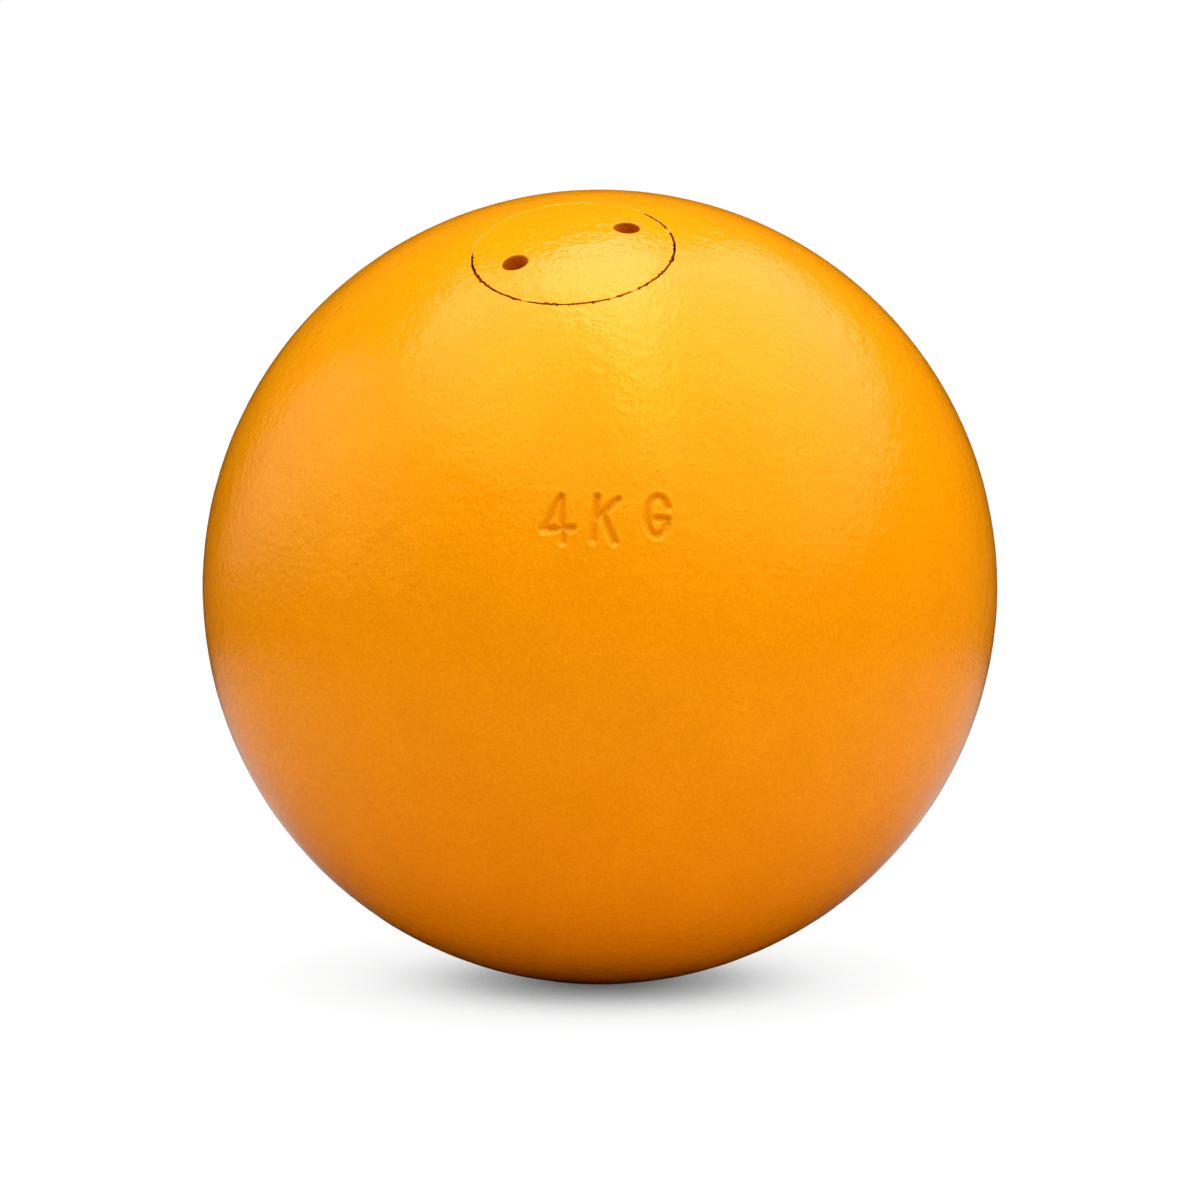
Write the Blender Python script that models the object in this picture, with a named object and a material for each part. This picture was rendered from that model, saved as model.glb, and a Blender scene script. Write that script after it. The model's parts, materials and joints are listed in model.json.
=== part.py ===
"""A turned iron shot for putting, with its screwed plug, seal ring, packing wad and ballast.

Units are metres. The origin is the centre of the ball and +Z points up. The shot lies as it was
set down, with its plug leaning towards -Y, so every piece hangs on one empty that carries the lean.
Below that empty, Z is the axis of the plug and of everything that is turned about it, and every
height is measured along it from the centre of the ball.
"""

import math

import bmesh
import bpy

# Ball
ball_circumference = 0.325
ball_radius = ball_circumference / (2 * math.pi)

# How the ball was set down: its plug leans forwards and a little to the left
lean_forward = math.radians(25.3)
lean_left = math.radians(4.3)

# Clearance that separate pieces keep where they seat or run
fit_gap = 0.0003

# Plug: a land flush with the ball, the thread below it, then a plain nose
plug_diameter = 0.0254
land_height = 0.0018
thread_pitch_diameter = 0.0252
thread_length = 0.0120
nose_diameter = 0.0232
nose_length = 0.0046
nose_chamfer = 0.0006
edge_break = 0.00015
plug_clocking = math.radians(25.3)

# Two blind holes for a pin spanner, drilled a little to one side of the plug's centre
spanner_hole_diameter = 0.0033
spanner_hole_spacing = 0.0159
spanner_hole_depth = 0.0050
spanner_hole_corner = 0.0003
spanner_pair_shift = 0.0005

# Seal ring in a groove round the nose
seal_section = 0.00175

# Pocket that a twist drill leaves below the thread; its length trims the mass
pocket_diameter = 0.0245
pocket_length = 0.0560
drill_point_angle = math.radians(118)

# Lead ballast, and the felt wad that keeps it from moving
ballast_diameter = 0.0095
ballast_layers = 4
wad_chamfer = 0.0010

# Fineness of the surfaces
body_steps = 64
body_arc_step = math.radians(5)
dome_arc_step = math.radians(2.4)
seal_steps = 48
seal_section_steps = 8
wad_steps = 40
spanner_hole_steps = 20
ballast_subdivisions = 3
crease_angle = math.radians(25)
weld_distance = 0.000001

# Radii that follow from the sizes above
plug_radius = plug_diameter / 2
mouth_radius = plug_radius + fit_gap
plug_thread_radius = (thread_pitch_diameter - fit_gap) / 2
bore_thread_radius = (thread_pitch_diameter + fit_gap) / 2
nose_radius = nose_diameter / 2
pocket_radius = pocket_diameter / 2
seal_radius = pocket_radius - fit_gap - seal_section / 2
groove_radius = seal_radius - seal_section / 2 - fit_gap
ballast_radius = ballast_diameter / 2


def ball_height(radius):
    """Height of the ball's surface at this distance from the plug's axis."""
    return math.sqrt(ball_radius ** 2 - radius ** 2)


# Heights that follow from the sizes above, from the mouth down
thread_top = ball_height(plug_radius) - land_height
thread_end = thread_top - thread_length
seal_height = thread_end - nose_length / 2
nose_end = thread_end - nose_length
spanner_hole_floor = ball_height(spanner_hole_spacing / 2) - spanner_hole_depth
counterbore_floor = thread_top - fit_gap
bore_thread_end = thread_end - fit_gap
pocket_end = bore_thread_end - pocket_length
drill_slope = (math.pi - drill_point_angle) / 2
drill_tip = pocket_end - pocket_radius * math.tan(drill_slope)


def clear_scene():
    """Start from an empty scene."""
    for leftover in list(bpy.data.objects):
        bpy.data.objects.remove(leftover, do_unlink=True)


def make_material(name, colour, roughness, metallic):
    """One finish, as a plain Principled surface."""
    material = bpy.data.materials.new(name)
    material.use_nodes = True
    shader = material.node_tree.nodes["Principled BSDF"]
    shader.inputs["Base Color"].default_value = (*colour, 1.0)
    shader.inputs["Roughness"].default_value = roughness
    shader.inputs["Metallic"].default_value = metallic
    material.diffuse_color = (*colour, 1.0)
    return material


def add_object(name, data, parent):
    """Put an object into the scene, hung on its parent."""
    added = bpy.data.objects.new(name, data)
    bpy.context.collection.objects.link(added)
    added.parent = parent
    return added


def smooth(mesh):
    """Shade the turned faces smooth and keep the turned edges crisp."""
    mesh.shade_smooth()
    mesh.set_sharp_from_angle(angle=crease_angle)


def turn(name, outline, steps, closed=False):
    """A mesh turned about Z from an outline of (radius, height) points.

    An open outline starts and ends on the axis. A closed one goes round a ring's section.
    """
    shape = bmesh.new()
    corners = [shape.verts.new((radius, 0.0, height)) for radius, height in outline]
    edges = [shape.edges.new(pair) for pair in zip(corners, corners[1:])]
    if closed:
        edges.append(shape.edges.new((corners[-1], corners[0])))
    bmesh.ops.spin(
        shape,
        geom=corners + edges,
        cent=(0.0, 0.0, 0.0),
        axis=(0.0, 0.0, 1.0),
        angle=2 * math.pi,
        steps=steps,
        use_merge=True,
    )
    bmesh.ops.remove_doubles(shape, verts=shape.verts, dist=weld_distance)
    bmesh.ops.recalc_face_normals(shape, faces=shape.faces)
    mesh = bpy.data.meshes.new(name)
    shape.to_mesh(mesh)
    shape.free()
    smooth(mesh)
    return mesh


def ball_arc(start_radius, step):
    """Points on the ball's surface from a radius near the mouth down to the lowest point."""
    start = math.asin(start_radius / ball_radius)
    count = round((math.pi - start) / step)
    angles = [start + (math.pi - start) * i / count for i in range(count)]
    points = [(ball_radius * math.sin(a), ball_radius * math.cos(a)) for a in angles]
    return points + [(0.0, -ball_radius)]


def dome_arc(end_radius, step):
    """Points on the ball's surface from its top out to the plug's edge."""
    end = math.asin(end_radius / ball_radius)
    count = round(end / step)
    angles = [end * i / count for i in range(1, count + 1)]
    points = [(ball_radius * math.sin(a), ball_radius * math.cos(a)) for a in angles]
    return [(0.0, ball_radius)] + points


def make_shot_body(parent, material):
    """The iron ball, with its tapped mouth and the drilled pocket below."""
    bore = [
        (0.0, drill_tip),
        (pocket_radius, pocket_end),
        (pocket_radius, bore_thread_end),
        (bore_thread_radius, bore_thread_end),
        (bore_thread_radius, counterbore_floor),
        (mouth_radius, counterbore_floor),
        (mouth_radius, ball_height(mouth_radius) - edge_break),
    ]
    outside = ball_arc(mouth_radius + edge_break, body_arc_step)
    mesh = turn("shot_body", bore + outside, body_steps)
    mesh.materials.append(material)
    return add_object("shot_body", mesh, parent)


def make_spanner_cutter(name, side, plug):
    """The space that one spanner hole takes out of the plug."""
    radius = spanner_hole_diameter / 2
    above = ball_radius + fit_gap
    outline = [
        (0.0, above),
        (radius, above),
        (radius, spanner_hole_floor + spanner_hole_corner),
        (radius - spanner_hole_corner, spanner_hole_floor),
        (0.0, spanner_hole_floor),
    ]
    cutter = add_object(name, turn(name, outline, spanner_hole_steps), plug)
    cutter.location.x = side * spanner_hole_spacing / 2
    cutter.location.y = spanner_pair_shift
    cutter.hide_render = True
    cutter.display_type = "WIRE"
    return cutter


def make_closing_plug(parent, material):
    """The screwed plug: domed flush with the ball, with a grooved nose and two spanner holes."""
    groove_top = seal_height + seal_section / 2 + fit_gap
    groove_bottom = seal_height - seal_section / 2 - fit_gap
    outline = dome_arc(plug_radius - edge_break, dome_arc_step) + [
        (plug_radius, ball_height(plug_radius) - edge_break),
        (plug_radius, thread_top),
        (plug_thread_radius, thread_top),
        (plug_thread_radius, thread_end),
        (nose_radius, thread_end),
        (nose_radius, groove_top),
        (groove_radius, groove_top),
        (groove_radius, groove_bottom),
        (nose_radius, groove_bottom),
        (nose_radius, nose_end + nose_chamfer),
        (nose_radius - nose_chamfer, nose_end),
        (0.0, nose_end),
    ]
    mesh = turn("closing_plug", outline, body_steps)
    mesh.materials.append(material)
    plug = add_object("closing_plug", mesh, parent)
    plug.rotation_euler.z = plug_clocking
    for name, side in (("spanner_cutter_left", -1), ("spanner_cutter_right", 1)):
        drill = plug.modifiers.new(name, "BOOLEAN")
        drill.operation = "DIFFERENCE"
        drill.object = make_spanner_cutter(name, side, plug)
    return plug


def make_seal_ring(parent, material):
    """The rubber ring in the nose's groove, which seals on the pocket's wall."""
    angles = [2 * math.pi * i / seal_section_steps for i in range(seal_section_steps)]
    outline = [
        (seal_radius + seal_section / 2 * math.cos(a), seal_section / 2 * math.sin(a))
        for a in angles
    ]
    mesh = turn("seal_ring", outline, seal_steps, closed=True)
    mesh.materials.append(material)
    ring = add_object("seal_ring", mesh, parent)
    ring.location.z = seal_height
    return ring


def ballast_places():
    """Where each ballast ball lies, as (radius, angle, height), from the pocket's end upwards.

    Each layer lies against the wall and drops into the hollows of the layer below. The first one
    rests on the slope that the drill's point left.
    """
    spacing = ballast_diameter + fit_gap
    reach = ballast_radius + fit_gap
    radius = pocket_radius - reach
    count = max(1, int(math.pi / math.asin(min(1.0, spacing / (2 * radius)))))
    half_step = math.pi / count
    offset = 2 * radius * math.sin(half_step / 2)
    rise = math.sqrt(spacing ** 2 - offset ** 2)
    first = pocket_end + reach * (1 / math.cos(drill_slope) - math.tan(drill_slope))
    return [
        (radius, half_step * (2 * i + layer), first + rise * layer)
        for layer in range(ballast_layers)
        for i in range(count)
    ]


def make_ballast(parent, material):
    """The lead balls that bring the shot up to its mass."""
    shape = bmesh.new()
    bmesh.ops.create_icosphere(shape, subdivisions=ballast_subdivisions, radius=ballast_radius)
    mesh = bpy.data.meshes.new("ballast_ball")
    shape.to_mesh(mesh)
    shape.free()
    mesh.shade_smooth()
    mesh.materials.append(material)
    for number, (radius, angle, height) in enumerate(ballast_places(), start=1):
        ball = add_object(f"ballast_ball_{number:02d}", mesh, parent)
        ball.location = (radius * math.cos(angle), radius * math.sin(angle), height)


def make_packing_wad(parent, material):
    """The felt wad between the top ballast layer and the plug's nose."""
    top = nose_end - fit_gap
    bottom = max(height for _, _, height in ballast_places()) + ballast_radius + fit_gap
    radius = pocket_radius - fit_gap
    outline = [
        (0.0, top),
        (radius - wad_chamfer, top),
        (radius, top - wad_chamfer),
        (radius, bottom + wad_chamfer),
        (radius - wad_chamfer, bottom),
        (0.0, bottom),
    ]
    mesh = turn("packing_wad", outline, wad_steps)
    mesh.materials.append(material)
    return add_object("packing_wad", mesh, parent)


def make_shot():
    """Build every piece under the empty that carries the lean."""
    enamel = make_material("orange_enamel", (0.90, 0.30, 0.008), 0.22, 0.0)
    rubber = make_material("black_rubber", (0.02, 0.02, 0.02), 0.7, 0.0)
    felt = make_material("grey_felt", (0.30, 0.28, 0.25), 0.95, 0.0)
    lead = make_material("cast_lead", (0.22, 0.23, 0.25), 0.55, 1.0)
    lean = add_object("lean", None, None)
    lean.rotation_euler = (lean_forward, -lean_left, 0.0)
    make_shot_body(lean, enamel)
    make_closing_plug(lean, enamel)
    make_seal_ring(lean, rubber)
    make_packing_wad(lean, felt)
    make_ballast(lean, lead)


clear_scene()
make_shot()
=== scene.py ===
"""The looks of a turned iron shot: painted ball, screwed plug, seal ring, felt wad and lead ballast.

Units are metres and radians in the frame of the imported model: the ball's centre is the origin, +Z is
up and the viewer stands towards -Y. What is turned about the plug's axis is made in the plug's own
frame, in which Z is that axis, and is leaned over when it is finished.
"""

import json
import math

import bmesh
import bpy
import numpy as np
from mathutils import Matrix, Vector
from mathutils.geometry import delaunay_2d_cdt


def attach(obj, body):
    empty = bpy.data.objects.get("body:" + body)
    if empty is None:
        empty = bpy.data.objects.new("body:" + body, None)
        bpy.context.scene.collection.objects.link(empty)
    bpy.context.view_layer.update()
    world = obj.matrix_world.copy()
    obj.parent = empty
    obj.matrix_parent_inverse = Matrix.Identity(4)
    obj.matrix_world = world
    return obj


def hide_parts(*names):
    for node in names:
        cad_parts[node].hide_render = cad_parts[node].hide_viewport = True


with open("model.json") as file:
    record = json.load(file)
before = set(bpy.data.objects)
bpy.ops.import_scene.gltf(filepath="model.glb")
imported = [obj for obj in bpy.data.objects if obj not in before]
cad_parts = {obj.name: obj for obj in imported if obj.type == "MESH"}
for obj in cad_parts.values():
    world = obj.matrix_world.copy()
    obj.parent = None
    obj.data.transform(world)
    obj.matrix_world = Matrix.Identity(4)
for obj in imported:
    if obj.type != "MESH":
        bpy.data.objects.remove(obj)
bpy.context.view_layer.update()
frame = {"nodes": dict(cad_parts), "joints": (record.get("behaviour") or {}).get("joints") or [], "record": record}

mm = 0.001
behaviour = frame["record"]["behaviour"]

# Ball, mouth and plug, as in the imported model
ball_radius = 325 * mm / (2 * math.pi)
fit_gap = 0.3 * mm
plug_radius = 12.7 * mm
mouth_radius = plug_radius + fit_gap
land_height = 1.8 * mm
thread_length = 12.0 * mm
thread_pitch = 2 * math.pi * behaviour["couplings"][0]["ratio"]
nose_radius = 11.6 * mm
nose_length = 4.6 * mm
nose_chamfer = 0.6 * mm
seal_section = 1.75 * mm
pocket_radius = 12.25 * mm
pocket_length = 56.0 * mm
drill_slope = math.radians(31)
plug_clocking = math.radians(25.3)
hole_radius = 1.65 * mm
hole_spacing = 15.9 * mm
hole_depth = 5.0 * mm
hole_corner = 0.3 * mm
hole_pair_shift = 0.5 * mm
ballast_radius = 4.75 * mm

# Finish of the seal, the ballast and the wad
seal_parting = 0.03 * mm
seal_parting_width = 0.1
ballast_seam = 0.04 * mm
ballast_seam_angle = 0.015
ballast_seam_zone = 0.08
ballast_cut_angle = 0.19
ballast_roll = 2.4
ballast_roll_axis = Vector((1.0, 2.0, 3.0))
wad_slack = 0.45 * mm
wad_discs = 4
wad_crease = 0.35 * mm
wad_chamfer = 1.0 * mm
wad_fuzz = 0.05 * mm

# Thread profile: flanks at 30 degrees, with a little air between the two screwed pieces
outer_crest_radius = 12.90 * mm
outer_root_radius = 12.10 * mm
outer_crest_flat = 0.15 * mm
inner_root_radius = 12.98 * mm
inner_crest_flat = 0.44 * mm
flank_slope = math.tan(math.radians(30))
root_hollow = 0.03 * mm
relief_length = 1.3 * mm
run_out_slope = 0.8

# Paint at the seam: how it rounds the edges, and how the plug's top falls towards its rim
open_round = 0.05 * mm
filled_round = 0.12 * mm
paint_fill_radius = 12.985 * mm
paint_bead = 0.08 * mm
paint_fill_depth = 0.15 * mm
paint_skirt_taper = 0.12 * mm
paint_ridge = 0.035 * mm
paint_chip = 0.13 * mm
rim_fall = 0.03 * mm
rim_fall_start = 11.8 * mm
dome_rim = 12.05 * mm
lip_end_radius = mouth_radius + 0.40 * mm
hole_round = 0.22 * mm

# Where the paint fills the seam at the back, and where it bridges the open front
filled_from = math.radians(45)
filled_to = math.radians(173)
fill_end = 0.04
fill_rag = 0.03
paint_bridges = np.radians((-120, -69, -55, 18))
bridge_width = 0.6 * mm

# A dimple in the plug's paint, and the paint drawn up round its holes
dimple_place = (-9.6 * mm, -5.2 * mm)
dimple_depth = 0.06 * mm
dimple_radius = 0.45 * mm
hole_ridge = 0.012 * mm
hole_ridge_offset = 0.4 * mm
hole_ridge_width = 0.25 * mm

# Mass mark: plain strokes, each sign struck by itself, with their upper sides steeper by the lean
mark_depth = 0.55 * mm
mark_floor = 0.05 * mm
mark_shoulder = 0.66 * mm
mark_lean = 0.20 * mm
mark_softness = 0.4
mark_burr = 0.03 * mm
mark_burr_offset = 1.15
mark_burr_width = 0.25 * mm
mark_azimuth = math.radians(0.8)
mark_elevation = math.radians(16.1)

# Fineness of the turned surfaces, which are finest in a field round the mass mark
mark_field_width = 20.736 * mm
mark_field_height = 10.496 * mm
mark_cell = 0.15 * mm
coarse_column = math.radians(1.25)
coarse_row = 2.0 * mm
quarter_round = np.radians((22.5, 45, 67.5, 90))
plug_columns = 360
dome_cell = 0.36 * mm
hole_columns = 72
seal_columns = 160
seal_rows = 24
wad_columns = 180
wad_rows = 68
ballast_columns = 40
ripple_waves = 24
swell_waves = 36
sharp_angle = math.radians(38)
merge_distance = 0.0005 * mm

# Camera, with its lens and sensor in millimetres
camera_distance = 1.0
camera_elevation = math.radians(6.7)
camera_lens = 230.2
camera_sensor = 36.0
camera_drop = math.radians(0.0971)

# Studio cloths: name, distance, the place where the cloth glows most, and its outline. A place is its
# azimuth and elevation in degrees and its level: azimuth 0 is behind the ball, level 1 is plain white.
studio_cloths = (
    ("slope_cloth", 1.30, (-120, 60, 3.5), (
        (-32, 53, 2.4), (-71, 49, 2.1), (-105, 41, 1.7), (-131, 33, 1.3), (-171, 24, 0.9),
        (164, 27, 0.9), (169, 62, 1.5), (180, 77, 2.3), (-90, 82, 3.0), (-45, 64, 2.4),
    )),
    ("ridge_cloth", 1.25, (120, 84, 8.2), (
        (-45, 64, 3.0), (-90, 82, 3.6), (180, 77, 3.6), (169, 62, 3.3), (164, 27, 1.7), (152, 36, 2.1),
        (145, 60, 3.4), (90, 76, 5.2), (20, 60, 2.6), (9, 50, 2.0), (-15, 60, 3.0),
    )),
    ("right_cloth", 1.25, (105, 58, 3.1), (
        (164, 27, 0.9), (168, 18, 0.7), (130, 8, 0.9), (114, 6, 1.2), (85, 17, 1.4), (64, 26, 1.3),
        (44, 30, 1.1), (22, 34, 0.8), (20, 60, 2.0), (90, 76, 3.2), (145, 60, 2.3), (152, 36, 1.5),
    )),
    ("left_cloth", 0.55, (-92, 24, 1.45), (
        (-42, -5, 0.0), (-84, -5, 0.0), (-121, 0, 0.15), (-129, 10, 0.5), (-125, 30, 0.8),
        (-105, 41, 1.1), (-75, 46, 0.9), (-55, 34, 0.6), (-44, 8, 0.1),
    )),
)
room_light = 0.02

# The table as the ball mirrors it: shaded close to the ball, and fading out towards the dark room
table_level = 0.46
table_shade = 27 * mm
table_full = 98 * mm
table_fade = 120 * mm
table_end = 310 * mm

# Floor, with the shade under the ball, and the room round it
contact_reach = 300 * mm
contact_levels = (
    (0.0, 0.08), (0.018, 0.13), (0.06, 0.265), (0.115, 0.395), (0.18, 0.60), (0.25, 0.76),
    (0.35, 0.90), (0.48, 0.95), (0.7, 1.0),
)
floor_height = -ball_radius - 0.02 * mm
mirrored_lift = 0.4 * mm
floor_reach = 6.0
wall_top = 0.8
room_reach = 1.6
room_top = 0.5
ring_steps = 96


def ball_height(radius):
    """Height of the ball's surface at this distance from the plug's axis."""
    return np.sqrt(ball_radius ** 2 - np.asarray(radius) ** 2)


# Heights along the plug's axis, from the centre of the ball, and the radii of the seal and its groove
thread_top = float(ball_height(plug_radius)) - land_height
thread_end = thread_top - thread_length
seal_height = thread_end - nose_length / 2
nose_end = thread_end - nose_length
counterbore_floor = thread_top - fit_gap
bore_thread_end = thread_end - fit_gap
pocket_end = bore_thread_end - pocket_length
hole_floor = float(ball_height(hole_spacing / 2)) - hole_depth
seal_radius = pocket_radius - fit_gap - seal_section / 2
groove_radius = seal_radius - seal_section / 2 - fit_gap


def plug_frame():
    """The turn from the plug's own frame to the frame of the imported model."""
    axis = Vector(next(j["axis"] for j in frame["joints"] if j["name"] == "plug_turn")).normalized()
    across = Vector((axis.z, 0.0, -axis.x)).normalized()
    return Matrix((across, axis.cross(across), axis)).transposed().to_4x4()


to_world = plug_frame()
lean = np.array(to_world.to_3x3())


def smooth_step(low, high, value):
    """0 below low, 1 above high and smooth between them."""
    share = np.clip((np.asarray(value) - low) / (high - low), 0.0, 1.0)
    return share * share * (3 - 2 * share)


def even_turn(count):
    """Angles that share a full turn evenly."""
    return np.arange(count) * 2 * math.pi / count


def turn_apart(angles, centre):
    """How far each angle lies from the centre angle, from -pi to pi."""
    return (np.asarray(angles) - centre + math.pi) % (2 * math.pi) - math.pi


def ripple(angles, lowest, highest, seed):
    """Even noise round a circle, about -1 to 1, with waves from lowest to highest a turn."""
    random = np.random.default_rng(seed)
    waves = random.integers(lowest, highest, ripple_waves)
    phases = random.uniform(0, 2 * math.pi, ripple_waves)
    return np.cos(np.outer(angles, waves) + phases).sum(axis=1) / math.sqrt(ripple_waves / 2)


def swell(directions, longest, shortest, seed):
    """Even noise over the ball, about -1 to 1, with waves between two lengths."""
    random = np.random.default_rng(seed)
    axes = random.normal(size=(swell_waves, 3))
    axes /= np.linalg.norm(axes, axis=1)[:, None]
    lengths = random.uniform(shortest, longest, swell_waves)
    phases = random.uniform(0, 2 * math.pi, swell_waves)
    waves = axes * (2 * math.pi * ball_radius / lengths)[:, None]
    return np.cos(directions @ waves.T + phases).sum(axis=1) / math.sqrt(swell_waves / 2)


class Skin:
    """The faces of one piece, gathered from patches that meet edge to edge."""

    def __init__(self):
        self.points = []
        self.faces = []
        self.finishes = []

    def add(self, points, faces, finish):
        """Add a patch with its own points."""
        first = sum(len(patch) for patch in self.points)
        self.points.append(np.asarray(points, dtype=float))
        self.faces.extend(tuple(int(corner) + first for corner in face) for face in faces)
        self.finishes.extend([finish] * len(faces))

    def add_rings(self, rings, finish):
        """Join each ring to the next one; a ring of one point is a tip."""
        for upper, lower in zip(rings, rings[1:]):
            points = np.vstack([upper, lower])
            count = max(len(upper), len(lower))
            step = np.arange(count)
            after = (step + 1) % count
            if len(upper) == 1:
                faces = np.stack([np.zeros(count, int), 1 + step, 1 + after], axis=1)
            elif len(lower) == 1:
                faces = np.stack([step, np.full(count, count), after], axis=1)
            else:
                faces = np.stack([step, count + step, count + after, after], axis=1)
            self.add(points, faces, finish)

    def add_thread(self, columns, bottom, top, profile, radius_at, finish):
        """A screwed surface between two heights, with rows that follow the thread.

        profile is a list of (height within one pitch, radius), and radius_at limits the radius at a
        height, so that the thread starts and ends at one radius all round.
        """
        rows_a_pitch = len(profile)
        heights = np.array([height for height, _ in profile])
        radii = np.array([radius for _, radius in profile])
        turns = math.ceil((top - bottom) / thread_pitch) + 2
        row_height = (np.arange(turns)[:, None] * thread_pitch + heights).ravel() + bottom - thread_pitch
        row_radius = np.tile(radii, turns)
        first_turn = math.floor(bottom / thread_pitch)
        shift = first_turn * thread_pitch - bottom
        height = row_height[:, None] + shift + thread_pitch * columns / (2 * math.pi)
        height = np.clip(height, bottom, top)
        radius = radius_at(np.broadcast_to(row_radius[:, None], height.shape), height)
        points = np.stack([radius * np.cos(columns), radius * np.sin(columns), height], axis=2)
        count = len(columns)
        last = len(row_height) - 1
        faces = []
        for row in range(last):
            for column in range(count - 1):
                start = row * count + column
                faces.append((start, start + 1, start + count + 1, start + count))
            end = row * count + count - 1
            low = min(row + rows_a_pitch, last)
            high = min(row + rows_a_pitch + 1, last)
            faces.append((end, low * count, high * count, end + count))
        self.add(points.reshape(-1, 3), faces, finish)

    def build(self, name, materials, body, nodes, lean_over=True):
        """Merge the borders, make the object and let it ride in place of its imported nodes."""
        mesh = bpy.data.meshes.new(name)
        mesh.from_pydata(np.vstack(self.points).tolist(), [], self.faces)
        mesh.polygons.foreach_set("material_index", self.finishes)
        shape = bmesh.new()
        shape.from_mesh(mesh)
        bmesh.ops.remove_doubles(shape, verts=shape.verts, dist=merge_distance)
        bmesh.ops.dissolve_degenerate(shape, edges=shape.edges, dist=merge_distance)
        bmesh.ops.recalc_face_normals(shape, faces=shape.faces)
        if lean_over:
            bmesh.ops.transform(shape, matrix=to_world, verts=shape.verts)
        shape.to_mesh(mesh)
        shape.free()
        for material in materials:
            mesh.materials.append(material)
        mesh.shade_smooth()
        mesh.set_sharp_from_angle(angle=sharp_angle)
        piece = bpy.data.objects.new(name, mesh)
        bpy.context.scene.collection.objects.link(piece)
        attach(piece, body)
        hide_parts(*nodes)
        return piece


def circle(columns, radius, height):
    """A ring of points round the plug's axis; radius and height may change from column to column."""
    radius = np.broadcast_to(radius, columns.shape)
    height = np.broadcast_to(height, columns.shape)
    return np.stack([radius * np.cos(columns), radius * np.sin(columns), height], axis=1)


def tip(height):
    """The one point of a ring on the plug's axis."""
    return np.array([[0.0, 0.0, height]])


def paint_fill(columns):
    """How far the paint closes the seam, from 0 to 1: first at the back alone, then with the bridges."""
    middle = (filled_from + filled_to) / 2
    half = (filled_to - filled_from) / 2
    apart = np.abs(turn_apart(columns, middle)) + fill_rag * ripple(columns, 20, 90, seed=3)
    back = 1 - smooth_step(half - fill_end, half + fill_end, apart)
    fill = back
    for angle in paint_bridges:
        reach = np.abs(turn_apart(columns, angle)) * plug_radius
        fill = np.maximum(fill, 1 - smooth_step(bridge_width * 0.6, bridge_width, reach))
    return back, fill


def mark_directions():
    """The outward, rightward and upward directions at the middle of the mass mark."""
    side, rise = mark_azimuth, mark_elevation
    out = np.array([math.sin(side) * math.cos(rise), -math.cos(side) * math.cos(rise), math.sin(rise)])
    right = np.cross([0.0, 0.0, 1.0], out)
    right /= np.linalg.norm(right)
    return out, right, np.cross(out, right)


def arc(centre, half_width, half_height, start, end, count=16):
    """Points along a stretch of an ellipse, in degrees."""
    angles = np.radians(np.linspace(start, end, count))
    return [(centre[0] + half_width * math.cos(a), centre[1] + half_height * math.sin(a)) for a in angles]


def mark_strokes():
    """The strokes of the mass mark in millimetres, round the middle of the mark."""
    signs = (
        # where the sign stands, how far it leans, and its strokes
        ((-5.9, -0.1), 2, [
            [(0.45, 3.05), (-1.95, -0.95), (1.75, -0.95)],
            [(0.45, 3.05), (0.40, -2.65)],
        ]),
        ((0.0, 0.1), -6, [
            [(-1.35, 2.65), (-1.35, -2.75)],
            [(1.20, 2.6), (-1.20, -0.3)],
            [(-0.45, 0.5), (1.35, -2.75)],
        ]),
        ((6.5, 0.55), -3, [
            arc((0.0, 0.0), 1.36, 2.50, 28, 335) + [(1.25, -0.35), (-0.1, -0.30)],
        ]),
    )
    strokes = []
    for (across, up), tilt, lines in signs:
        cos, sin = math.cos(math.radians(tilt)), math.sin(math.radians(tilt))
        for line in lines:
            strokes.append([(across + x * cos - y * sin, up + x * sin + y * cos) for x, y in line])
    return strokes


def mark_relief(directions):
    """Height of the struck mass mark over the ball's surface, for directions in the model's frame."""
    # only the side of the ball that the mark is on can be struck
    out, right, up = mark_directions()
    facing = directions @ out
    near = facing > 0.9
    place = directions[near] * (ball_radius / facing[near])[:, None]
    flat = np.stack([place @ right, place @ up], axis=1)
    apart = np.full(len(flat), np.inf)
    above = np.zeros(len(flat))
    for line in mark_strokes():
        corners = np.array(line) * mm
        for start, end in zip(corners, corners[1:]):
            along = end - start
            share = np.clip((flat - start) @ along / (along @ along), 0.0, 1.0)
            offset = flat - start - share[:, None] * along
            distance = np.linalg.norm(offset, axis=1)
            above = np.where(distance < apart, offset[:, 1] / np.maximum(distance, 1e-9), above)
            apart = np.minimum(apart, distance)
    shoulder = mark_shoulder - mark_lean * above
    flank = np.clip((apart - mark_floor) / (shoulder - mark_floor), 0.0, 1.0)
    flank += mark_softness * (flank * flank * (3 - 2 * flank) - flank)
    dent = -mark_depth * (1 - flank)
    burr = mark_burr * np.exp(-((apart - shoulder * mark_burr_offset) / mark_burr_width) ** 2)
    relief = np.zeros(len(directions))
    relief[near] = dent + burr
    return relief


def ball_relief(points):
    """Move points of the ball's surface, in the plug's frame, by the unevenness of the painted iron."""
    distance = np.linalg.norm(points, axis=1)
    directions = points / distance[:, None]
    uneven = 0.010 * mm * swell(directions, 14 * mm, 5 * mm, seed=11)
    uneven += 0.004 * mm * swell(directions, 5 * mm, 3 * mm, seed=12)
    uneven += mark_relief(directions @ lean.T)
    return directions * (distance + uneven)[:, None]


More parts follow.
